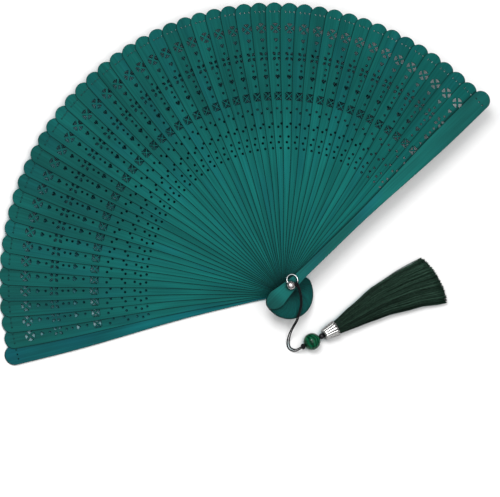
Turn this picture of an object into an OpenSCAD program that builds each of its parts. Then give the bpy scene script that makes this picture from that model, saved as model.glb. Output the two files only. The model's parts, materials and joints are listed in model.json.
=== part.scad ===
// Folding hand fan of the all-stick kind: pierced bamboo blades between two plain
// guards, on one pivot pin whose domed head carries a ring, a doubled cord, a bead,
// a fluted cap and a silk tassel.
// Millimetres. The origin is on the pin's axis, in the plane that the fan rests on.
// +Z points up out of the fan's face and +Y along its middle when it is open.

/* [Fan] */
// Blades between the two guards
blade_count = 46; // [20:1:60]
// Angle between the two guards when the fan is open, degrees
open_angle = 151; // [90:1:175]
// Pin axis to a blade's tip
blade_reach = 188; // [120:1:240]
// Pin axis to a guard's tip
guard_reach = 190; // [120:1:240]
// Pin axis to the end of the butt
butt_reach = 21.0; // [14:0.1:30]

/* [Sticks] */
// Thickness of a blade
blade_thick = 0.32; // [0.2:0.01:0.8]
// Thickness of a guard
guard_thick = 1.7; // [1:0.1:3]
// Gap between one stick and the next
stick_gap = 0.1; // [0.05:0.01:0.3]
// Width of a stick at its widest, near the tip
tip_width = 12.6; // [8:0.1:18]
// Width of a blade's narrow part, above the pin
blade_waist = 5.7; // [4:0.1:8]
// Width of a guard's narrow part
guard_waist = 6.0; // [4:0.1:9]
// Width of the butt at its widest
butt_width = 11.6; // [8:0.1:16]

/* [Pivot] */
// Diameter of the pin
pin_dia = 2.0; // [1.5:0.1:3]
// Radial clearance of the pin in each stick
pin_play = 0.05; // [0.02:0.01:0.1]
// Diameter of the domed head
head_dia = 6.0; // [4:0.1:9]
// Outer diameter of the ring
ring_dia = 8.0; // [6:0.1:14]
// Diameter of the ring's wire
ring_wire = 0.7; // [0.6:0.1:1.4]

/* [Tassel] */
// Diameter of each run of the doubled cord
cord_dia = 0.8; // [0.6:0.1:1.6]
// Diameter of the green bead
bead_dia = 11.1; // [6:0.1:16]
// Diameter of the knot before the bead
knot_dia = 3.0; // [2.5:0.1:6]
// Diameter of the small black bead
small_bead_dia = 3.9; // [3:0.1:7]
// Length of the fluted cap
cap_len = 9.3; // [6:0.1:16]
// Diameter of the cap's narrow end
cap_narrow = 7.1; // [4:0.1:9]
// Diameter of the cap's wide end
cap_wide = 10.3; // [6:0.1:14]

/* [Hidden] */
// ---- the stack of sticks ----
step_count = blade_count + 1;
step_angle = open_angle / step_count;
first_angle = 90 + open_angle / 2;
blade_step = blade_thick + stick_gap;
top_guard_z = guard_thick + stick_gap + blade_count * blade_step;
stack_top = top_guard_z + guard_thick;

// ---- a stick's outline ----
waist_at = 12;
tip_round = tip_width / 2;
blade_taper_at = 64;
guard_taper_at = 54;
taper_len = 104;
flare_power = 1.5;
butt_end_len = 8.6;
butt_widest_at = butt_end_len - butt_reach;
taper_steps = 10;
flare_steps = 7;
end_steps = 6;

// ---- the pierced pattern, measured back from the tip ----
thread_row = 6.1;
thread_pitch = 3.0;
thread_hole = 0.9;
dot_dia = 1.5;
flower_at = 17.0;
flower_dia = 6.7;
flower_rib = 1.4;
flower_steps = 6;
star_at = 35.7;
star_dia = 7.6;
star_hub = 2.0;
leaf_wide = 1.8;
leaf_steps = 6;
square_at = 62.2;
square_side = 5.4;
square_rib = 0.8;
heart_places = [[25.1, 2.2], [49.5, 2.5]];
centre_dots = [30.2, 41.4, 45.1, 55.1];
zigzag_dots = [[70.4, -1.3], [73, 1.2], [80.4, 1.2], [82.6, -1.1], [89, -0.1], [92.8, -1.2], [96.6, -0.1]];

// ---- the thread that links the tips ----
thread_wide = 0.45;
thread_thick = 0.05;
thread_radius = blade_reach - thread_row;
left_hole_r = norm([thread_pitch, thread_radius]);
left_hole_turn = atan(thread_pitch / thread_radius);
thread_end_z = 0.4;

// ---- pivot ----
bore_r = pin_dia / 2 + pin_play;
recess_r = 2.7;
recess_deep = 0.9;
back_cap_r = 2.5;
back_cap_thick = 0.75;
head_z = stack_top + stick_gap;
head_r = head_dia / 2;
head_base = 0.7;
head_tall = 3.1;
ring_r = (ring_dia - ring_wire) / 2;
ring_heading = 46;
ring_lean = 7;
eye_z = head_z + 1.45;
eye_play = 0.15;

// ---- tassel: the cord's pieces lie on one line along +X ----
tassel_y = -39;
tassel_z = bead_dia / 2;
bead_x = 0.2;
cord_bore_r = 1.05;
knot_x = bead_x - (bead_dia + knot_dia) / 2;
small_bead_x = bead_x + (bead_dia + small_bead_dia) / 2;
cap_x = small_bead_x + small_bead_dia / 2;
cap_wall = 0.5;
cap_crown = 1.2;
flute_count = 14;
flute_r = 0.45;
neck_x = cap_x + 2.4;
cap_mouth_r = cap_wide / 2 - cap_wall;
cap_crown_r = cap_narrow / 2 - cap_wall;
neck_r = cap_crown_r + (cap_mouth_r - cap_crown_r) * (neck_x - cap_x - cap_crown) / (cap_len - cap_crown);

// The skirt's cross-sections: x, y, z of the middle, half width, half thickness
skirt_sections = [
    [cap_x + cap_len, tassel_y, tassel_z, cap_mouth_r, cap_mouth_r],
    [36, -38.2, 5.1, 7.6, 4.9],
    [54, -37.6, 4.7, 10.7, 4.6],
    [76, -39.8, 4.0, 14.1, 3.9],
    [95, -43.2, 3.4, 17.2, 3.3],
    [98, -43.9, 3.0, 10.0, 2.6]
];

// The doubled cord's middle line, from the ring to the knot
cord_route = [
    [3.7, -1.2, 24.1],
    [4.0, -3.6, 23.5],
    [3.8, -6.8, 21.9],
    [3.3, -10.2, 20.0],
    [2.0, -13.8, 18.1],
    [-0.1, -17.0, 16.4],
    [-2.4, -19.6, 15.3],
    [-4.6, -22.0, 13.7],
    [-6.7, -23.8, 11.0],
    [-8.7, -25.7, 7.8],
    [-10.4, -27.8, 4.7],
    [-12.0, -30.2, 2.3],
    [-13.3, -32.8, 0.9],
    [-13.8, -35.3, 0.6],
    [-13.0, -37.4, 0.9],
    [-11.7, -38.7, 2.0],
    [-10.3, -39.1, 3.8],
    [-8.8, -39.0, 5.3]
];
run_apart = 0.86;
loop_apart = 0.7;
route_steps = 2;
cord_sides = 8;

function blade_name(i) = str("blade_", i < 10 ? "0" : "", i);

// The heading of stick i, counted up from the lower guard, with the fan open
function heading(i) = first_angle - i * step_angle;

// The underside of blade i
function blade_z(i) = guard_thick + stick_gap + (i - 1) * blade_step;

// The face of stick i
function face_z(i) =
    i == 0 ? guard_thick : i == step_count ? stack_top : blade_z(i) + blade_thick;

// The underside of the thread that lies on stick i
function tape_z(i) = face_z(i) + (stick_gap - thread_thick) / 2;

// Half width of a stick where it widens from its narrow part, where t is 0, to its full width, where t is 1
function half_width(t, waist) = (waist + (tip_width - waist) * t * t * (3 - 2 * t)) / 2;

// Half width between the waist, where t is 0, and the widest place of the butt, where t is 1
function flare_width(t, waist) = (waist + (butt_width - waist) * pow(t, flare_power)) / 2;

// One long side of a stick, from the middle of its butt's end up to its tip
function stick_side(reach, waist, taper_at) = [
    for (i = [0:end_steps - 1])
        let (a = 90 * i / end_steps)
        [butt_width / 2 * sin(a), butt_widest_at - butt_end_len * cos(a)],
    for (i = [0:flare_steps])
        let (t = 1 - i / flare_steps)
        [flare_width(t, waist), waist_at + t * (butt_widest_at - waist_at)],
    for (i = [0:taper_steps])
        let (t = i / taper_steps)
        [half_width(t, waist), taper_at + t * taper_len],
    [tip_round, reach - tip_round]
];

function mirrored(points) =
    [for (i = [len(points) - 1:-1:1]) [-points[i][0], points[i][1]]];

// ---- curves ----

// Catmull-Rom point between p1 and p2
function spline(p0, p1, p2, p3, t) =
    0.5 * (2 * p1 + (p2 - p0) * t + (2 * p0 - 5 * p1 + 4 * p2 - p3) * t * t
        + (3 * p1 - p0 - 3 * p2 + p3) * t * t * t);

function smooth(route, steps) = [
    for (i = [0:len(route) - 2], k = [0:steps - 1])
        spline(
            route[max(i - 1, 0)],
            route[i],
            route[i + 1],
            route[min(i + 2, len(route) - 1)],
            k / steps
        ),
    route[len(route) - 1]
];

function unit(v) = v / norm(v);

function heading_at(points, i) =
    unit(points[min(i + 1, len(points) - 1)] - points[max(i - 1, 0)]);

function sideways(direction) = unit(cross(direction, [0, 0, 1]));

// The two runs lie side by side, and part a little in the loop before the knot
function apart(t) = run_apart + loop_apart * pow(sin(180 * max(0, 2 * t - 1)), 2);

// One run of the cord: side is 1 or -1
function run_line(side) =
    let (middle = smooth(cord_route, route_steps))
    [
        for (i = [0:len(middle) - 1])
            middle[i] + side * apart(i / (len(middle) - 1)) / 2 * sideways(heading_at(middle, i)),
        for (x = [knot_x, cap_x, neck_x])
            [x, tassel_y - side * run_apart / 2, tassel_z]
    ];

function tube_ring(centre, direction, r, sides) =
    let (
        u = sideways(direction),
        v = cross(u, direction)
    )
    [for (k = [0:sides - 1]) centre + r * (cos(360 * k / sides) * u + sin(360 * k / sides) * v)];

// ---- sticks ----

module stick_outline(reach, waist, taper_at) {
    side = stick_side(reach, waist, taper_at);
    polygon(concat(side, mirrored(side)));
    translate([0, reach - tip_round])
        circle(r = tip_round, $fn = 64);
}

// Three small holes across the tip for the linking thread
module thread_holes() {
    for (x = [-thread_pitch, 0, thread_pitch])
        translate([x, thread_radius])
            circle(d = thread_hole, $fn = 16);
}

// A round flower: four petals between crossed ribs
module flower() {
    petal_turn = 45 - asin(flower_rib / flower_dia);
    for (a = [0:90:270])
        rotate(a)
            polygon([
                [0, flower_rib * 0.7],
                for (i = [0:flower_steps])
                    let (b = petal_turn * (1 - 2 * i / flower_steps))
                    flower_dia / 2 * [sin(b), cos(b)]
            ]);
}

// Half width of a leaf, where t goes from 0 at one of its points to 1 at the other
function leaf_half(t) = leaf_wide / 2 * sin(180 * t);

// A star flower: four slender leaves on the diagonals
module star() {
    leaf_len = (star_dia - star_hub) / 2;
    for (a = [45:90:315])
        rotate(a)
            translate([0, star_hub / 2])
                polygon([
                    for (i = [0:leaf_steps - 1]) [leaf_half(i / leaf_steps), leaf_len * i / leaf_steps],
                    for (i = [leaf_steps:-1:1]) [-leaf_half(i / leaf_steps), leaf_len * i / leaf_steps]
                ]);
}

// A square cut into four triangles by crossed ribs
module crossed_square() {
    rib = square_rib * 0.7;
    for (a = [0:90:270])
        rotate(a)
            polygon([
                [0, rib],
                [square_side / 2 - rib, square_side / 2],
                [rib - square_side / 2, square_side / 2]
            ]);
}

// A heart whose point looks at the pin
module heart(size) {
    polygon([
        [0, -size * 0.6],
        [size * 0.6, size * 0.1],
        [size * 0.5, size * 0.5],
        [size * 0.2, size * 0.6],
        [0, size * 0.35],
        [-size * 0.2, size * 0.6],
        [-size * 0.5, size * 0.5],
        [-size * 0.6, size * 0.1]
    ]);
}

module dot(back, x) {
    translate([x, blade_reach - back])
        circle(d = dot_dia, $fn = 16);
}

module blade_pattern() {
    translate([0, blade_reach - flower_at])
        flower();
    translate([0, blade_reach - star_at])
        star();
    translate([0, blade_reach - square_at])
        crossed_square();
    for (place = heart_places)
        translate([0, blade_reach - place[0]])
            heart(place[1]);
    for (back = centre_dots)
        dot(back, 0);
    for (place = zigzag_dots)
        dot(place[0], place[1]);
}

module pin_bore() {
    circle(r = bore_r, $fn = 48);
}

module blade(i) {
    color([0.1, 0.36, 0.34])
        translate([0, 0, blade_z(i)])
            rotate(heading(i) - 90)
                linear_extrude(height = blade_thick)
                    difference() {
                        stick_outline(blade_reach, blade_waist, blade_taper_at);
                        pin_bore();
                        thread_holes();
                        blade_pattern();
                    }
}

module guard(i, z) {
    color([0.09, 0.38, 0.36])
        translate([0, 0, z])
            rotate(heading(i) - 90)
                linear_extrude(height = guard_thick)
                    difference() {
                        stick_outline(guard_reach, guard_waist, guard_taper_at);
                        pin_bore();
                        thread_holes();
                    }
}

// The lower guard is the base: its underside has a round seat for the pin's back cap
module lower_guard() {
    color([0.09, 0.38, 0.36])
        difference() {
            guard(0, 0);
            translate([0, 0, -1])
                cylinder(r = recess_r, h = recess_deep + 1, $fn = 64);
        }
}

module upper_guard() {
    guard(step_count, top_guard_z);
}

// A short upright run of the thread inside a hole
module thread_peg(turn, low, high) {
    rotate(turn)
        translate([left_hole_r, 0, low])
            cylinder(d = thread_wide * 0.8, h = high - low, $fn = 16);
}

// One link: up through a hole of stick i, over its face and under the next stick's left hole.
// It comes up through the left hole, but through the right one on the lower guard.
module thread_link(i) {
    start = heading(i) + (i == 0 ? -left_hole_turn : left_hole_turn);
    half_turn = (start - heading(i + 1) - left_hole_turn) / 2;
    tape_len = 2 * left_hole_r * sin(half_turn) + thread_wide;
    thread_peg(start, i == 0 ? thread_end_z : tape_z(i - 1), tape_z(i) + thread_thick);
    rotate(start - half_turn)
        translate([left_hole_r * cos(half_turn) - thread_wide / 2, -tape_len / 2, tape_z(i)])
            cube([thread_wide, tape_len, thread_thick]);
}

// The thread ends inside the upper guard's left hole
module tip_thread() {
    color([0.03, 0.12, 0.11]) {
        for (i = [0:blade_count])
            thread_link(i);
        thread_peg(heading(step_count) + left_hole_turn, tape_z(blade_count), stack_top - thread_end_z);
    }
}

// ---- pivot ----

module pivot_pin() {
    color([0.75, 0.76, 0.78])
        cylinder(d = pin_dia, h = head_z, $fn = 48);
}

module back_cap() {
    color([0.75, 0.76, 0.78])
        difference() {
            cylinder(r = back_cap_r, h = back_cap_thick, $fn = 64);
            translate([0, 0, -1])
                cylinder(d = pin_dia, h = back_cap_thick + 2, $fn = 48);
        }
}

// The ring's place: it leans a little, from the eye down to the guard's face
module at_ring() {
    translate([0, 0, eye_z])
        rotate([0, ring_lean, ring_heading])
            translate([ring_r, 0, 0])
                children();
}

module torus(wire_r) {
    rotate_extrude($fn = 64)
        translate([ring_r, 0])
            circle(r = wire_r, $fn = 24);
}

module dome_head() {
    rise = head_tall - head_base;
    bulge_r = (head_r * head_r + rise * rise) / (2 * rise);
    color([0.8, 0.8, 0.82])
        difference() {
            translate([0, 0, head_z])
                rotate_extrude($fn = 64)
                    intersection() {
                        translate([0, head_tall - bulge_r])
                            circle(r = bulge_r, $fn = 96);
                        square([head_r, head_tall]);
                    }
            at_ring()
                torus(ring_wire / 2 + eye_play);
        }
}

module tassel_ring() {
    color([0.8, 0.8, 0.82])
        at_ring()
            torus(ring_wire / 2);
}

// ---- tassel ----

module tube(points, r, sides) {
    last = len(points) - 1;
    rings = [for (i = [0:last]) each tube_ring(points[i], heading_at(points, i), r, sides)];
    walls = [
        for (i = [0:last - 1], k = [0:sides - 1])
            let (n = (k + 1) % sides)
            each [
                [i * sides + k, i * sides + n, (i + 1) * sides + n],
                [i * sides + k, (i + 1) * sides + n, (i + 1) * sides + k]
            ]
    ];
    first_end = [for (k = [sides - 1:-1:0]) k];
    last_end = [for (k = [0:sides - 1]) last * sides + k];
    polyhedron(rings, concat(walls, [first_end, last_end]), convexity = 8);
}

module tassel_cord() {
    color([0.04, 0.04, 0.05])
        for (side = [-1, 1])
            tube(run_line(side), cord_dia / 2, cord_sides);
}

// A piece on the cord's line, turned about +X
module on_line(x) {
    translate([x, tassel_y, tassel_z])
        rotate([0, 90, 0])
            children();
}

// A ball with the cord's bore along its axis
module bored_ball(dia) {
    difference() {
        sphere(d = dia, $fn = 64);
        cylinder(r = cord_bore_r, h = dia * 2, center = true, $fn = 32);
    }
}

module cord_knot() {
    color([0.04, 0.04, 0.05])
        on_line(knot_x)
            bored_ball(knot_dia);
}

module jade_bead() {
    color([0.05, 0.35, 0.18])
        on_line(bead_x)
            bored_ball(bead_dia);
}

module small_bead() {
    color([0.04, 0.04, 0.05])
        on_line(small_bead_x)
            bored_ball(small_bead_dia);
}

module tassel_cap() {
    outer_tilt = atan((cap_wide - cap_narrow) / 2 / cap_len);
    color([0.8, 0.8, 0.8])
        on_line(cap_x)
            difference() {
                cylinder(d1 = cap_narrow, d2 = cap_wide, h = cap_len, $fn = 64);
                translate([0, 0, cap_crown])
                    cylinder(r1 = cap_crown_r, r2 = cap_mouth_r, h = cap_len - cap_crown, $fn = 64);
                translate([0, 0, cap_len])
                    cylinder(r = cap_mouth_r, h = 1, $fn = 64);
                translate([0, 0, -1])
                    cylinder(r = cord_bore_r, h = cap_crown + 2, $fn = 32);
                for (k = [0:flute_count - 1])
                    rotate(k * 360 / flute_count)
                        translate([cap_narrow / 2 + flute_r * 0.6, 0, -0.2])
                            rotate([0, outer_tilt, 0])
                                cylinder(r = flute_r, h = cap_len + 1, $fn = 16);
            }
}

// The bound head of the tassel inside the cap, and its skirt of strands beyond it
module tassel_skirt() {
    color([0.1, 0.18, 0.14])
        union() {
            on_line(neck_x)
                cylinder(r1 = neck_r, r2 = cap_mouth_r, h = cap_x + cap_len - neck_x, $fn = 64);
            for (k = [0:len(skirt_sections) - 2])
                hull() {
                    skirt_slice(skirt_sections[k]);
                    skirt_slice(skirt_sections[k + 1]);
                }
        }
}

module skirt_slice(section) {
    translate([section[0], section[1], section[2]])
        rotate([0, 90, 0])
            scale([section[4], section[3], 1])
                cylinder(r = 1, h = 0.1, $fn = 32);
}

lower_guard();
for (i = [1:blade_count])
    blade(i);
upper_guard();
tip_thread();
pivot_pin();
back_cap();
dome_head();
tassel_ring();
tassel_cord();
cord_knot();
jade_bead();
small_bead();
tassel_cap();
tassel_skirt();
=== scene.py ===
"""The look of a pierced bamboo hand fan lying open, with its tassel on a doubled cord."""
import json
import math
import random

import bpy
from mathutils import Matrix, Vector


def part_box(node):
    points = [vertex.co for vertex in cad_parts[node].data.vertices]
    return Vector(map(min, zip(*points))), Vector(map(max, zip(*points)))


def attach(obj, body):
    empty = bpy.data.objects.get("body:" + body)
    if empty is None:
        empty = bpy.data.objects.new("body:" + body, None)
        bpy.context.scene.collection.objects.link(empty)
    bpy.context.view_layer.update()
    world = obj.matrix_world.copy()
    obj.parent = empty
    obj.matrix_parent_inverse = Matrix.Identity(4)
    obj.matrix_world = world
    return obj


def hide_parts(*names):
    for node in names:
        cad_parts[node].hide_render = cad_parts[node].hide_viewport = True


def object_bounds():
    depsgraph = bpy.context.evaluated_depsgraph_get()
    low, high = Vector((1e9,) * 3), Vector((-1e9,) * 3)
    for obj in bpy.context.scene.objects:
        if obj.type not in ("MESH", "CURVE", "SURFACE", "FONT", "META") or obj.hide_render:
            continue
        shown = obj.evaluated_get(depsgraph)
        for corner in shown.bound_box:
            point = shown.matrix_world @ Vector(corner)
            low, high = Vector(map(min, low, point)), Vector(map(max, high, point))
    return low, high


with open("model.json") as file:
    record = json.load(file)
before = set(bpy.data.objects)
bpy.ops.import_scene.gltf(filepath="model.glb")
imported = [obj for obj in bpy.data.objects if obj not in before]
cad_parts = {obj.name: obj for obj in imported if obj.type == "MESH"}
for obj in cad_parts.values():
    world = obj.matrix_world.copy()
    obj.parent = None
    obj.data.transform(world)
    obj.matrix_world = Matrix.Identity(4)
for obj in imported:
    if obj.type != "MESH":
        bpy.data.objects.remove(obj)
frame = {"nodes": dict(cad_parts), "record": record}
cad_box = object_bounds()

MM = 0.001
record = frame["record"]
nodes = frame["nodes"]
fold = next(j for j in record["behaviour"]["joints"] if j["name"] == "fan_fold")
OPEN_ANGLE = fold["range_deg"][1]
BLADES = sorted(name for name in nodes if name.startswith("blade_"))
STICKS = ["lower_guard", *BLADES, "upper_guard"]
STEP_ANGLE = OPEN_ANGLE / (len(STICKS) - 1)
HANGER = "hanger"


def heading(index):
    """The way that a stick points, in degrees from +X, counted up from the lower guard."""
    return 90 + OPEN_ANGLE / 2 - index * STEP_ANGLE


# ---------------------------------------------------------------- camera

VIEW_DISTANCE = 2.604
VIEW_TILT = 18.0  # from straight above, degrees
VIEW_FROM = 179.2  # the side it leans to, degrees from +X
VIEW_UP = 60.1  # what is up in the view, degrees from +X
VIEW_AIM = Vector((-0.0047, 0.0334, 0))
VIEW_LENS = 288


def flat_heading(degrees):
    return Vector((math.cos(math.radians(degrees)), math.sin(math.radians(degrees)), 0))


def make_camera():
    tilt = math.radians(VIEW_TILT)
    back = flat_heading(VIEW_FROM) * math.sin(tilt) + Vector((0, 0, math.cos(tilt)))
    right = flat_heading(VIEW_UP).cross(back).normalized()
    up = back.cross(right)
    data = bpy.data.cameras.new("camera")
    data.lens = VIEW_LENS
    data.sensor_width = 36
    data.clip_end = 50
    camera = bpy.data.objects.new("camera", data)
    bpy.context.scene.collection.objects.link(camera)
    turn = Matrix((right, up, back)).transposed().to_4x4()
    camera.matrix_world = Matrix.Translation(VIEW_AIM + back * VIEW_DISTANCE) @ turn
    bpy.context.scene.camera = camera


make_camera()

# ---------------------------------------------------------------- small helpers


def new_object(name, data, material=None, smooth=True):
    thing = bpy.data.objects.new(name, data)
    bpy.context.scene.collection.objects.link(thing)
    if material is not None:
        data.materials.append(material)
    if smooth and isinstance(data, bpy.types.Mesh):
        data.polygons.foreach_set("use_smooth", [True] * len(data.polygons))
    return thing


def mesh_object(name, points, faces, material, smooth=True):
    mesh = bpy.data.meshes.new(name)
    mesh.from_pydata([tuple(p) for p in points], [], faces)
    mesh.validate()
    mesh.update()
    return new_object(name, mesh, material, smooth)


def ring_of_faces(low, high, count):
    """Faces between two closed rings of count points, which start at low and at high."""
    ring = range(count)
    return [(low + n, low + (n + 1) % count, high + (n + 1) % count, high + n) for n in ring]


def curve_object(name, points, radius, material):
    """A round tube along points, as a curve of one open spline."""
    curve = bpy.data.curves.new(name, "CURVE")
    curve.dimensions = "3D"
    curve.bevel_depth = radius
    curve.bevel_resolution = 3
    curve.use_fill_caps = True
    spline = curve.splines.new("POLY")
    spline.points.add(len(points) - 1)
    for target, point in zip(spline.points, points):
        target.co = (*point, 1)
    spline.use_smooth = True
    return new_object(name, curve, material)


def catmull(a, b, c, d, t):
    return 0.5 * (
        2 * b
        + (c - a) * t
        + (2 * a - 5 * b + 4 * c - d) * t**2
        + (3 * b - a - 3 * c + d) * t**3
    )


def smooth_line(route, steps):
    """Catmull-Rom points through a route."""
    last = len(route) - 1
    line = []
    for i in range(last):
        around = route[max(i - 1, 0)], route[i], route[i + 1], route[min(i + 2, last)]
        line += [catmull(*around, k / steps) for k in range(steps)]
    return [*line, route[last]]


# ---------------------------------------------------------------- material nodes


class Graph:
    """A material's node tree with one Principled shader."""

    def __init__(self, name):
        self.material = bpy.data.materials.new(name)
        self.material.use_nodes = True
        self.tree = self.material.node_tree
        self.shader = self.tree.nodes["Principled BSDF"]

    def add(self, kind, settings=None, **inputs):
        made = self.tree.nodes.new(f"ShaderNode{kind}")
        for key, value in (settings or {}).items():
            setattr(made, key, value)
        for key, value in inputs.items():
            self.feed(made.inputs[key.replace("_", " ")], value)
        return made

    def feed(self, socket, value):
        """Links an output to the socket, or sets its constant."""
        if isinstance(value, bpy.types.NodeSocket):
            self.tree.links.new(value, socket)
        else:
            socket.default_value = value

    def shade(self, **inputs):
        for key, value in inputs.items():
            self.feed(self.shader.inputs[key.replace("_", " ")], value)

    def maths(self, operation, a, b=0.0):
        made = self.tree.nodes.new("ShaderNodeMath")
        made.operation = operation
        self.feed(made.inputs[0], a)
        self.feed(made.inputs[1], b)
        return made.outputs[0]

    def coordinates(self, kind="Object"):
        return self.add("TexCoord").outputs[kind]

    def part(self, vector, axis):
        return self.add("SeparateXYZ", Vector=vector).outputs[axis]

    def attribute(self, name, kind="GEOMETRY"):
        settings = {"attribute_type": kind, "attribute_name": name}
        return self.add("Attribute", settings).outputs["Fac"]

    def openness(self, distance, samples, inside=False):
        """How open the surface is within the distance, from 0 in a crease to 1."""
        settings = {"samples": samples, "inside": inside}
        return self.add("AmbientOcclusion", settings, Distance=distance).outputs["AO"]

    def stretched(self, vector, scale):
        made = self.add("Mapping", Vector=vector)
        made.inputs["Scale"].default_value = scale
        return made.outputs["Vector"]

    def noise(self, vector, scale=1.0, detail=4.0, roughness=0.55):
        made = self.add("TexNoise", Vector=vector, Scale=scale, Detail=detail, Roughness=roughness)
        return made.outputs["Fac"]

    def ramp(self, factor, stops):
        made = self.add("ValToRGB", Fac=factor)
        elements = made.color_ramp.elements
        while len(elements) < len(stops):
            elements.new(0.5)
        for element, (place, colour) in zip(elements, stops):
            element.position = place
            element.color = (*colour, 1)
        return made.outputs["Color"]

    def mix(self, factor, a, b, blend="MIX"):
        made = self.add("Mix", {"data_type": "RGBA", "blend_type": blend})
        self.feed(made.inputs["Factor"], factor)
        for place, value in ((6, a), (7, b)):
            self.feed(made.inputs[place], value)
        return made.outputs[2]

    def spread(self, value, low, high, to_low=0.0, to_high=1.0):
        made = self.add("MapRange")
        for place, number in enumerate((value, low, high, to_low, to_high)):
            self.feed(made.inputs[place], number)
        return made.outputs["Result"]

    def curve(self, value, stops):
        """The value's place between the stops, which are pairs of a number and its result."""
        first, last = stops[0][0], stops[-1][0]
        top = max(result for _, result in stops)
        levels = [((at - first) / (last - first), (result / top,) * 3) for at, result in stops]
        return self.maths("MULTIPLY", self.ramp(self.spread(value, first, last), levels), top)

    def bump(self, height, distance, strength=1.0):
        made = self.add("Bump", Height=height, Distance=distance, Strength=strength)
        self.shade(Normal=made.outputs["Normal"])


def colour(red, green, blue):
    return (red, green, blue, 1)


# ---------------------------------------------------------------- cord


def cord_material():
    g = Graph("black_cord")
    uv = g.coordinates("UV")
    along_braid = g.stretched(uv, (70, 4, 1))
    braid = g.add("TexWave", {"bands_direction": "DIAGONAL"}, Vector=along_braid, Scale=1.0)
    fuzz = g.noise(g.coordinates(), 5000, 2)
    wear = g.maths("MULTIPLY", fuzz, 0.5)
    tone = g.mix(wear, colour(0.002, 0.002, 0.003), colour(0.014, 0.014, 0.016))
    g.shade(Base_Color=tone, Roughness=0.55, Specular_IOR_Level=0.12)
    g.bump(braid.outputs["Fac"], 0.06 * MM, 0.7)
    return g.material


CORD_DIAMETER = 0.8 * MM
HITCH_RADIUS = 0.85 * MM
HITCH_HALF = 1.2 * MM
HITCH_SINK = 0.2 * MM  # how far the hitch's middle lies inside the cord's start
KNOT_RADIUS = 1.25 * MM
KNOT_CORD_RADIUS = 0.56 * MM
TURNS = 3  # in the hitch, and in the knot

# In millimetres: how far apart the runs lie, and the places along the tassel's line
RUN_APART = 0.86
LOOP_APART = 0.7
FLOOR_GAP = 0.02
TASSEL_Y = -39
TASSEL_Z = 5.55
KNOT_X = -6.85
CAP_X = 9.65
NECK_X = 12.05
# The doubled cord's middle line in millimetres, from the ring to the knot
CORD_ROUTE = [
    (3.7, -1.2, 24.1),
    (4.0, -3.6, 23.5),
    (3.8, -6.8, 21.9),
    (3.3, -10.2, 20.0),
    (2.0, -13.8, 18.1),
    (-0.1, -17.0, 16.4),
    (-2.4, -19.6, 15.3),
    (-4.6, -22.0, 13.7),
    (-6.7, -23.8, 11.0),
    (-8.7, -25.7, 7.8),
    (-10.4, -27.8, 4.7),
    (-12.0, -30.2, 2.3),
    (-13.3, -32.8, 0.9),
    (-13.8, -35.3, 0.6),
    (-13.0, -37.4, 0.9),
    (-11.7, -38.7, 2.0),
    (-10.3, -39.1, 3.8),
    (-8.8, -39.0, 5.3),
]


def run_line(side):
    """One run's centreline in metres. The two lie side by side and part a little in the loop."""
    middle = smooth_line([Vector(p) for p in CORD_ROUTE], 6)
    last = len(middle) - 1
    line = []
    for i, point in enumerate(middle):
        ahead = middle[min(i + 1, last)] - middle[max(i - 1, 0)]
        sideways = ahead.cross(Vector((0, 0, 1))).normalized()
        loop = math.sin(math.pi * max(0, 2 * i / last - 1)) ** 2
        line.append(point + sideways * side * (RUN_APART + LOOP_APART * loop) / 2)
    for x in (KNOT_X, CAP_X, NECK_X):
        line.append(Vector((x, TASSEL_Y - side * RUN_APART / 2, TASSEL_Z)))
    lowest = CORD_DIAMETER / MM / 2 + FLOOR_GAP
    return [Vector((point.x, point.y, max(point.z, lowest))) * MM for point in line]


def wound_line(start, end, radius, turns, steps=20):
    """A helix about the line from start to end."""
    axis = (end - start).normalized()
    across = axis.orthogonal().normalized()
    beside = axis.cross(across)
    count = turns * steps
    return [
        start.lerp(end, k / count)
        + across * radius * math.cos(2 * math.pi * k / steps)
        + beside * radius * math.sin(2 * math.pi * k / steps)
        for k in range(count + 1)
    ]


black_cord = cord_material()


def make_run(number, side):
    return curve_object(f"cord_run_{number}", run_line(side), CORD_DIAMETER / 2, black_cord)


def make_hitch():
    """The turns that hold the cord on the ring's wire."""
    ring_low, ring_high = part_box("tassel_ring")
    ring_middle = (ring_low + ring_high) / 2
    start = sum((run_line(side)[0] for side in (-1, 1)), Vector()) / 2
    outward = (start - ring_middle).normalized()
    half = Vector((-outward.y, outward.x, 0)).normalized() * HITCH_HALF
    middle = start - outward * HITCH_SINK
    turns = wound_line(middle - half, middle + half, HITCH_RADIUS, TURNS)
    return curve_object("cord_hitch", turns, CORD_DIAMETER / 2, black_cord)


def make_knot():
    """The turns of the knot before the bead."""
    low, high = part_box("cord_knot")
    centre = (low + high) / 2
    half = Vector(((high.x - low.x) / 2 - CORD_DIAMETER / 2, 0, 0))
    turns = wound_line(centre - half, centre + half, KNOT_RADIUS, TURNS)
    knot = curve_object("knot_turns", turns, KNOT_CORD_RADIUS, black_cord)
    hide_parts("cord_knot")
    return knot


def make_cord():
    runs = [make_run(1, -1), make_run(2, 1)]
    hitch = make_hitch()
    knot = make_knot()
    for piece in (*runs, hitch, knot):
        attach(piece, HANGER)
    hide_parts("tassel_cord")
    run_line(-1)[0]
    run_line(1)[0]


make_cord()

# ---------------------------------------------------------------- sticks


# How far in the painted shade at the rims of holes reaches
RIM_SHADE_WIDTH = 0.3 * MM
# How far from a stick lying close above the painted crease shade reaches
CREASE_SHADE_WIDTH = 1.8 * MM


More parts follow.
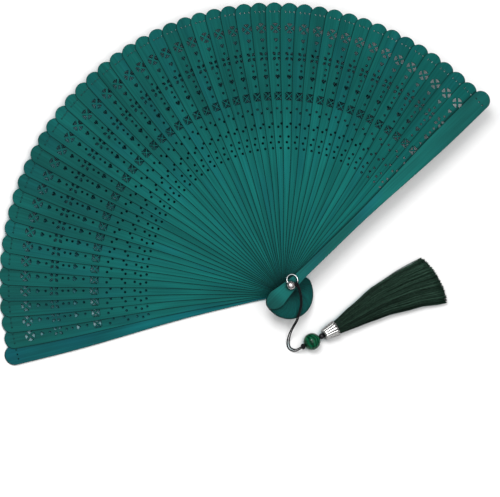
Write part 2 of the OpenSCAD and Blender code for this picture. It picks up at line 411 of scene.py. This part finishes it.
def bamboo_material(name, dark, light, blue_share, gloss, brightness_table):
    """Dyed bamboo: fine lengthwise grain, broad tone drift, bluer patches, and painted shade on the
    side faces, at the rims of holes and in the creases where sticks overlap.

    Its brightness changes along the stick: the brightness table lists places along it in metres from
    the pivot, each with the brightness there. On the upper guard the table also paints a highlight
    beside the pivot and painted shade at the end of its butt.
    """
    g = Graph(name)
    turn = g.attribute("heading", "OBJECT")
    tone = g.attribute("tone", "OBJECT")
    back = g.maths("MULTIPLY", turn, -1.0)
    turned = g.add("VectorRotate", {"rotation_type": "Z_AXIS"}, Vector=g.coordinates(), Angle=back)
    lengthwise = turned.outputs["Vector"]
    sideways = g.maths("MULTIPLY", tone, 3.0)
    upwards = g.maths("MULTIPLY", tone, 7.0)
    offset = g.add("CombineXYZ", X=0.0, Y=sideways, Z=upwards)
    moved = g.add("VectorMath", {"operation": "ADD"})
    g.feed(moved.inputs[0], lengthwise)
    g.feed(moved.inputs[1], offset.outputs["Vector"])
    stick = moved.outputs["Vector"]

    fibre = g.noise(g.stretched(stick, (60, 3200, 400)), 1.0, 3, 0.6)
    strand = g.noise(g.stretched(stick, (18, 900, 100)), 1.0, 2, 0.5)
    drift = g.noise(g.stretched(stick, (22, 90, 30)), 1.0, 2, 0.5)
    patch = g.noise(g.stretched(stick, (30, 60, 17)), 1.0, 1, 0.4)

    grain = g.maths("ADD", g.maths("MULTIPLY", fibre, 0.35), g.maths("MULTIPLY", strand, 0.65))
    face = g.ramp(grain, [(0.3, dark), (0.7, light)])
    bluer = g.mix(g.spread(patch, 0.5, 0.75, 0.0, blue_share), face, colour(0.002, 0.06, 0.09))
    shift = g.maths("ADD", g.spread(drift, 0.3, 0.7, 0.84, 1.14), g.maths("MULTIPLY", tone, 0.12))
    # Brightness along the stick from the table; on the upper guard's butt it is a painted highlight
    # and painted shade
    along_brightness = g.curve(g.part(lengthwise, "X"), brightness_table)
    lit = g.add("HueSaturation", Value=g.maths("MULTIPLY", shift, along_brightness), Color=bluer)
    # Painted shade: faces with a sideways normal, the stick's cut sides, are darkened towards dark
    # teal.
    upright = g.part(g.coordinates("Normal"), "Z")
    side_shade = g.spread(g.maths("ABSOLUTE", upright), 0.3, 0.7, 1.0, 0.0)
    body = g.mix(side_shade, lit.outputs["Color"], colour(0.002, 0.026, 0.024))
    # Painted shade: the surface is darkened near the rims of holes and at the stick's sides, where
    # walls lie close.
    rim = g.openness(RIM_SHADE_WIDTH, 4, inside=True)
    rim_shaded = g.mix(g.spread(rim, 0.7, 0.98, 0.7, 0.0), body, colour(0.001, 0.01, 0.01))
    # Painted shade: the face is darkened where another stick lies close over it.
    crease = g.openness(CREASE_SHADE_WIDTH, 4)
    crease_shaded = g.mix(g.spread(crease, 0.55, 0.98, 0.85, 0.0), rim_shaded, colour(0.001, 0.009, 0.009))
    g.shade(
        Base_Color=crease_shaded,
        Roughness=g.spread(strand, 0.3, 0.7, 0.4, 0.55),
        Specular_IOR_Level=gloss,
    )
    g.bump(grain, 0.05 * MM, 0.5)
    return g.material


# The place along the stick in metres from the pivot, and how bright the stick is there
BLADE_BRIGHTNESS = [
    (0.0, 1.22),
    (0.034, 1.3),
    (0.074, 1.4),
    (0.094, 1.4),
    (0.104, 1.23),
    (0.13, 1.07),
    (0.15, 1.0),
    (0.19, 1.05),
]
# The same for the upper guard; from -0.021 to 0.0, on its butt, the values paint a highlight beside
# the pivot and painted shade at the butt's end
UPPER_BRIGHTNESS_AND_HIGHLIGHT = [
    (-0.021, 0.6),
    (-0.014, 0.8),
    (-0.008, 1.35),
    (0.0, 1.1),
    (0.03, 0.95),
    (0.045, 1.0),
    (0.08, 1.4),
    (0.1, 1.4),
    (0.14, 1.1),
    (0.19, 0.9),
]


def dress(node, material):
    """Gives a CAD node its material."""
    slots = nodes[node].material_slots
    for slot in slots:
        slot.material = material
    if not slots:
        nodes[node].data.materials.append(material)


def make_sticks():
    blade = bamboo_material(
        "blade_bamboo",
        dark=(0.001, 0.052, 0.047),
        light=(0.003, 0.086, 0.077),
        blue_share=0.2,
        gloss=0.05,
        brightness_table=BLADE_BRIGHTNESS,
    )
    upper = bamboo_material(
        "upper_bamboo",
        dark=(0.002, 0.066, 0.06),
        light=(0.005, 0.112, 0.1),
        blue_share=0.35,
        gloss=0.08,
        brightness_table=UPPER_BRIGHTNESS_AND_HIGHLIGHT,
    )
    lower = bamboo_material(
        "lower_bamboo",
        dark=(0.001, 0.05, 0.054),
        light=(0.003, 0.084, 0.09),
        blue_share=0.4,
        gloss=0.04,
        brightness_table=BLADE_BRIGHTNESS,
    )
    chance = random.Random(4)
    for index, name in enumerate(STICKS):
        nodes[name]["heading"] = math.radians(heading(index))
        nodes[name]["tone"] = chance.uniform(-1, 1)
        dress(name, {"upper_guard": upper, "lower_guard": lower}.get(name, blade))


make_sticks()

# ---------------------------------------------------------------- linking thread

THREAD_RADIUS = 181.9 * MM
THREAD_PITCH = 3.0 * MM
THREAD_WIDE = 0.4 * MM
THREAD_THICK = 0.05 * MM
THREAD_END_Z = 0.4 * MM


def thread_material():
    g = Graph("link_thread")
    twist = g.noise(g.coordinates(), 6000, 2)
    tone = g.mix(twist, colour(0.001, 0.02, 0.02), colour(0.01, 0.1, 0.095))
    g.shade(Base_Color=tone, Roughness=0.7, Specular_IOR_Level=0.05)
    g.bump(twist, 0.02 * MM)
    return g.material


def brick(low, high, place):
    """Corners and faces of a box, moved by the matrix place."""
    xs, ys, zs = zip(low, high)
    corners = [place @ Vector((x, y, z)) for x in xs for y in ys for z in zs]
    faces = [(0, 1, 3, 2), (4, 6, 7, 5), (0, 4, 5, 1), (2, 3, 7, 6), (0, 2, 6, 4), (1, 5, 7, 3)]
    return corners, faces


def tape_z(index):
    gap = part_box(STICKS[1])[0].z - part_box(STICKS[0])[1].z
    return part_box(STICKS[index])[1].z + (gap - THREAD_THICK) / 2


def make_link(index, material):
    """One link: up through a hole of its stick, over its face and on to the next stick's left hole."""
    hole_r = math.hypot(THREAD_PITCH, THREAD_RADIUS)
    hole_turn = math.atan(THREAD_PITCH / THREAD_RADIUS)
    half_wide = THREAD_WIDE / 2
    is_last = index == len(STICKS) - 1
    start = math.radians(heading(index)) + (-hole_turn if index == 0 else hole_turn)
    low_z = THREAD_END_Z if index == 0 else tape_z(index - 1)
    top_z = tape_z(index)
    peg_top = top_z - THREAD_END_Z if is_last else top_z
    peg_place = Matrix.Rotation(start, 4, "Z") @ Matrix.Translation((hole_r, 0, 0))
    points, faces = brick((-half_wide, -half_wide, low_z), (half_wide, half_wide, peg_top), peg_place)
    if not is_last:
        half_turn = (start - math.radians(heading(index + 1)) - hole_turn) / 2
        half_len = hole_r * math.sin(half_turn) + half_wide
        middle = Matrix.Translation((hole_r * math.cos(half_turn), 0, 0))
        tape_place = Matrix.Rotation(start - half_turn, 4, "Z") @ middle
        tape_low = (-half_wide, -half_len, top_z)
        tape_high = (half_wide, half_len, top_z + THREAD_THICK)
        tape_points, tape_faces = brick(tape_low, tape_high, tape_place)
        faces += [tuple(k + len(points) for k in face) for face in tape_faces]
        points += tape_points
    link = mesh_object(f"thread_link_{index:02d}", points, faces, material, smooth=False)
    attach(link, STICKS[index])
    if index == 0:
        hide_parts("tip_thread")


def make_thread():
    material = thread_material()
    for index in range(len(STICKS)):
        make_link(index, material)


make_thread()

# ---------------------------------------------------------------- metal and beads


# How far the painted shade in grooves reaches
GROOVE_SHADE_WIDTH = 0.9 * MM


def metal_material(name, tint, roughness, groove_shade=0.0):
    """Bright metal with faint polishing marks, and painted shade on its sides and undersides that
    stands in for dark reflections.

    Its grooves get painted shade, as strong as its last argument says, from 0 to 1.
    """
    g = Graph(name)
    marks = g.noise(g.stretched(g.coordinates(), (900, 900, 4000)), 1.0, 3)
    upright = g.part(g.coordinates("Normal"), "Z")
    # Painted shade: faces whose normal points sideways or down are darkened towards near black.
    base = g.mix(g.spread(upright, 0.0, 0.5, 0.85, 0.0), colour(*tint), colour(0.03, 0.03, 0.03))
    if groove_shade:
        # Painted shade: grooves and hollows are darkened where the surface is hemmed in.
        groove = g.openness(GROOVE_SHADE_WIDTH, 8)
        base = g.mix(g.spread(groove, 0.55, 0.95, groove_shade, 0.0), base, colour(0.03, 0.03, 0.028))
    g.shade(
        Base_Color=base,
        Metallic=1.0,
        Roughness=g.spread(marks, 0.3, 0.7, roughness * 0.7, roughness * 1.4),
    )
    g.bump(marks, 0.01 * MM, 0.4)
    return g.material


def jade_material():
    """Banded green stone under a high polish."""
    g = Graph("green_bead")
    place = g.coordinates()
    across_bands = g.stretched(place, (150, 110, 130))
    bands = g.add("TexWave", {"bands_direction": "X"}, Vector=across_bands, Distortion=8.0, Scale=1.0)
    cloud = g.noise(place, 420, 3)
    pattern = g.maths(
        "ADD",
        g.maths("MULTIPLY", bands.outputs["Fac"], 0.35),
        g.maths("MULTIPLY", cloud, 0.65),
    )
    stops = [
        (0.3, (0.001, 0.02, 0.009)),
        (0.5, (0.001, 0.046, 0.019)),
        (0.7, (0.004, 0.09, 0.038)),
    ]
    stone = g.ramp(pattern, stops)
    g.shade(Base_Color=stone, Roughness=0.12, Specular_IOR_Level=0.12)
    return g.material


def black_bead_material():
    g = Graph("small_black_bead")
    wear = g.noise(g.coordinates(), 900, 3)
    g.shade(
        Base_Color=g.mix(wear, colour(0.002, 0.002, 0.003), colour(0.012, 0.012, 0.014)),
        Roughness=g.spread(wear, 0.3, 0.7, 0.22, 0.4),
        Specular_IOR_Level=0.25,
    )
    g.bump(wear, 0.03 * MM, 0.5)
    return g.material


FLUTES = 14
STEPS_PER_FLUTE = 8
CAP_RINGS = 8
CAP_WALL = 0.45 * MM
CAP_CLEAR = 0.1 * MM  # keeps the thickened wall off the floor
CAP_BORE = 1.1 * MM
CAP_BORE_EDGE = 0.2 * MM
CAP_NARROWING = 0.69  # the narrow end's radius as a share of the wide end's
SHOULDER = 0.08  # the share of the cap's length that the rounded shoulder takes
SCALLOP = 0.4 * MM
SCALLOP_FROM = 0.9


def make_cap(material):
    """The fluted cap: rounded shoulders at the narrow end, ribs that deepen, and a scalloped rim."""
    low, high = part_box("tassel_cap")
    length = high.x - low.x
    wide = (high.z - low.z) / 2 - CAP_CLEAR
    narrow = wide * CAP_NARROWING
    around = FLUTES * STEPS_PER_FLUTE
    # place along the cap, radius, depth of the flutes in millimetres
    profile = [
        (0.06, CAP_BORE, 0.0),
        (0.0, CAP_BORE + CAP_BORE_EDGE, 0.0),
        (0.0, narrow * 0.78, 0.05),
        (0.03, narrow * 0.94, 0.2),
        (SHOULDER, narrow, 0.45),
    ]
    for k in range(1, CAP_RINGS + 1):
        t = k / CAP_RINGS
        profile.append((SHOULDER + 0.88 * t, narrow + (wide - narrow) * t, 0.45 + 0.2 * t))
    points = []
    for place, radius, flute in profile:
        for n in range(around):
            angle = 2 * math.pi * n / around
            rib = 1 - abs(math.cos(FLUTES * angle / 2)) ** 6
            r = radius - flute * MM * (1 - rib)
            x = low.x + length * place + (SCALLOP * rib if place > SCALLOP_FROM else 0)
            y = TASSEL_Y * MM + r * math.cos(angle)
            z = TASSEL_Z * MM + r * math.sin(angle)
            points.append(Vector((x, y, z)))
    faces = []
    for k in range(len(profile) - 1):
        faces += ring_of_faces(k * around, (k + 1) * around, around)
    cap = mesh_object("fluted_cap", points, faces, material)
    wall = cap.modifiers.new("wall", "SOLIDIFY")
    wall.thickness = CAP_WALL
    wall.offset = 1
    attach(cap, HANGER)
    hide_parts("tassel_cap")


def make_metal():
    pin = metal_material("pin_metal", (0.56, 0.52, 0.52), 0.2)
    ring = metal_material("ring_metal", (0.7, 0.72, 0.73), 0.35)
    # The cap gets strong painted shade in its grooves
    cap = metal_material("cap_metal", (0.5, 0.5, 0.49), 0.24, groove_shade=0.9)
    for name in ("pivot_pin", "back_cap", "dome_head"):
        dress(name, pin)
    dress("tassel_ring", ring)
    dress("jade_bead", jade_material())
    dress("small_bead", black_bead_material())
    make_cap(cap)


make_metal()

# ---------------------------------------------------------------- tassel

# The skirt's cross-sections in millimetres: x, y and z of the middle, half width, half thickness
SKIRT_SECTIONS = [
    (12.05, -39, 5.55, 2.8, 2.8),
    (18.95, -39, 5.55, 4.45, 4.45),
    (36, -38.2, 5.1, 7.4, 4.7),
    (54, -37.6, 4.7, 10.5, 4.4),
    (76, -39.8, 4.0, 13.9, 3.7),
    (95, -43.2, 3.4, 17.0, 3.1),
    (98, -43.9, 3.2, 17.5, 3.0),
]
STRANDS = 2000
LOCKS = 84  # strands side by side lie in locks, each with its own tone, height and length
STRAND_SIDES = 3
STRAND_RINGS = 16
STRAND_RADIUS = 0.18
STRAND_FLOOR_GAP = 0.05
TRIM_ARC = 2.8  # how much shorter the skirt is at its edges


def skirt_section(x):
    """The section at x, in millimetres, between the listed ones."""
    for low, high in zip(SKIRT_SECTIONS, SKIRT_SECTIONS[1:]):
        if x <= high[0]:
            break
    t = min(1, (x - low[0]) / (high[0] - low[0]))
    t = t * t * (3 - 2 * t) * 0.4 + t * 0.6
    return [a + (b - a) * t for a, b in zip(low, high)]


def silk_material():
    """Dark green silk: each strand has its own tone, and the silk darkens towards the cap end."""
    g = Graph("tassel_silk")
    tone = g.attribute("tone")
    fine = g.noise(g.stretched(g.coordinates(), (300, 6000, 6000)), 1.0, 2)
    fleck = g.spread(g.noise(g.stretched(g.coordinates(), (900, 2000, 2000)), 1.0, 1), 0.3, 0.7)
    streaks = g.maths("ADD", g.maths("MULTIPLY", tone, 0.65), g.maths("MULTIPLY", fleck, 0.35))
    along = g.part(g.coordinates(), "X")
    mixed = g.maths("ADD", streaks, g.spread(along, 0.02, 0.09, -0.16, 0.05))
    stops = [
        (0.15, (0.001, 0.005, 0.003)),
        (0.5, (0.008, 0.024, 0.015)),
        (0.85, (0.034, 0.08, 0.054)),
    ]
    silk = g.ramp(mixed, stops)
    g.shade(Base_Color=silk, Roughness=0.5, Specular_IOR_Level=0.12)
    g.bump(fine, 0.04 * MM, 0.6)
    return g.material


def strand_line(across, up, reach, wander, lift, chance):
    """One strand, in millimetres, at its own place in every section of the skirt."""
    start = SKIRT_SECTIONS[0][0]
    phase = chance.uniform(0, 6.28)
    line = []
    for k in range(STRAND_RINGS + 1):
        t = k / STRAND_RINGS
        x = start + (reach - start) * t
        _, y, z, half_wide, half_thick = skirt_section(x)
        sway = wander * t * math.sin(phase + 5 * t)
        line.append(Vector((x, y + across * half_wide + sway, z + up * half_thick + lift * t)))
    return line


def make_locks(chance):
    """Each lock's tone, its lift at the trimmed end, and how much longer it is."""
    return [
        (chance.uniform(-0.3, 0.3), chance.uniform(-0.2, 0.1), chance.uniform(-0.35, 0.3))
        for _ in range(LOCKS)
    ]


def add_strand(line, points, faces):
    """Adds to points and faces a closed tube along the line, which is in millimetres."""
    base = len(points)
    for k, point in enumerate(line):
        radius = STRAND_RADIUS * (0.7 + 0.3 * k / STRAND_RINGS)
        height = max(point.z, radius + STRAND_FLOOR_GAP)
        for n in range(STRAND_SIDES):
            a = 2 * math.pi * n / STRAND_SIDES
            y = point.y + radius * math.cos(a)
            z = height + radius * math.sin(a)
            points.append(Vector((point.x, y, z)) * MM)
    for k in range(STRAND_RINGS):
        low = base + k * STRAND_SIDES
        faces += ring_of_faces(low, low + STRAND_SIDES, STRAND_SIDES)
    end = base + STRAND_RINGS * STRAND_SIDES
    faces.append(tuple(base + n for n in reversed(range(STRAND_SIDES))))
    faces.append(tuple(end + n for n in range(STRAND_SIDES)))


def make_tassel():
    chance = random.Random(11)
    locks = make_locks(chance)
    points, faces, tones = [], [], []
    for _ in range(STRANDS):
        angle = chance.uniform(0, 2 * math.pi)
        out = math.sqrt(chance.random())
        across, up = out * math.cos(angle), out * math.sin(angle)
        lock = min(LOCKS - 1, int((across + 1) / 2 * LOCKS))
        lock_tone, lift, longer = locks[lock]
        reach = SKIRT_SECTIONS[-1][0] - TRIM_ARC * across**2 + longer + chance.uniform(-0.8, 0.5)
        line = strand_line(across, up, reach, chance.uniform(0, 0.7), lift, chance)
        add_strand(line, points, faces)
        tone = min(1, max(0, 0.55 + lock_tone + chance.uniform(-0.3, 0.3)))
        tones += [tone] * (STRAND_SIDES * len(line))
    skirt = mesh_object("silk_strands", points, faces, silk_material())
    attribute = skirt.data.attributes.new("tone", "FLOAT", "POINT")
    attribute.data.foreach_set("value", tones)
    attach(skirt, HANGER)
    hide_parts("tassel_skirt")


make_tassel()

# ---------------------------------------------------------------- floor and light


FLOOR_HALF = 4.0
SHADE_REACH = 60 * MM  # how far off the fan the painted shadow on the floor reaches


def make_floor():
    g = Graph("floor_with_painted_shadow")
    open_sky = g.openness(SHADE_REACH, 16)
    # Painted shadow: the floor darkens the more nearby parts hide the sky, down to dark teal under the
    # fan, the teal being painted light bounced off the sticks; open floor stays white.
    stops = [
        (0.0, (0.003, 0.07, 0.085)),
        (0.2, (0.035, 0.18, 0.2)),
        (0.34, (0.3, 0.43, 0.45)),
        (0.52, (0.78, 0.78, 0.78)),
    ]
    painted_floor_shadow = g.ramp(open_sky, stops)
    g.shade(Base_Color=painted_floor_shadow, Roughness=0.9, Specular_IOR_Level=0.0)
    corners = [(-1, -1, 0), (1, -1, 0), (1, 1, 0), (-1, 1, 0)]
    points = [Vector(corner) * FLOOR_HALF for corner in corners]
    floor = mesh_object("floor", points, [(0, 1, 2, 3)], g.material, smooth=False)
    floor.location.z = cad_box[0].z


def make_light(name, where, aim, size, power):
    data = bpy.data.lights.new(name, "AREA")
    data.shape = "SQUARE"
    data.size = size
    data.energy = power
    lamp = bpy.data.objects.new(name, data)
    bpy.context.scene.collection.objects.link(lamp)
    lamp.location = where
    lamp.rotation_mode = "QUATERNION"
    lamp.rotation_quaternion = (aim - where).to_track_quat("-Z", "Y")


def make_world():
    world = bpy.data.worlds.new("studio")
    world.use_nodes = True
    tree = world.node_tree
    background = tree.nodes["Background"]
    background.inputs["Strength"].default_value = 1.0
    place = tree.nodes.new("ShaderNodeTexCoord")
    split = tree.nodes.new("ShaderNodeSeparateXYZ")
    ramp = tree.nodes.new("ShaderNodeValToRGB")
    ramp.color_ramp.elements[0].position = 0.35
    ramp.color_ramp.elements[0].color = colour(0.06, 0.06, 0.06)
    ramp.color_ramp.elements[1].position = 0.6
    ramp.color_ramp.elements[1].color = colour(0.7, 0.7, 0.7)
    tree.links.new(place.outputs["Generated"], split.inputs["Vector"])
    tree.links.new(split.outputs["Z"], ramp.inputs["Fac"])
    tree.links.new(ramp.outputs["Color"], background.inputs["Color"])
    bpy.context.scene.world = world


def make_studio():
    make_floor()
    make_world()
    centre = (cad_box[0] + cad_box[1]) / 2
    make_light("key", centre + Vector((-0.45, 0.85, 2.0)), centre, 0.8, 32)
    make_light("top", centre + Vector((-0.3, -0.2, 1.9)), centre, 1.0, 14)
    view = bpy.context.scene.view_settings
    view.view_transform = "Standard"
    view.look = "None"


make_studio()
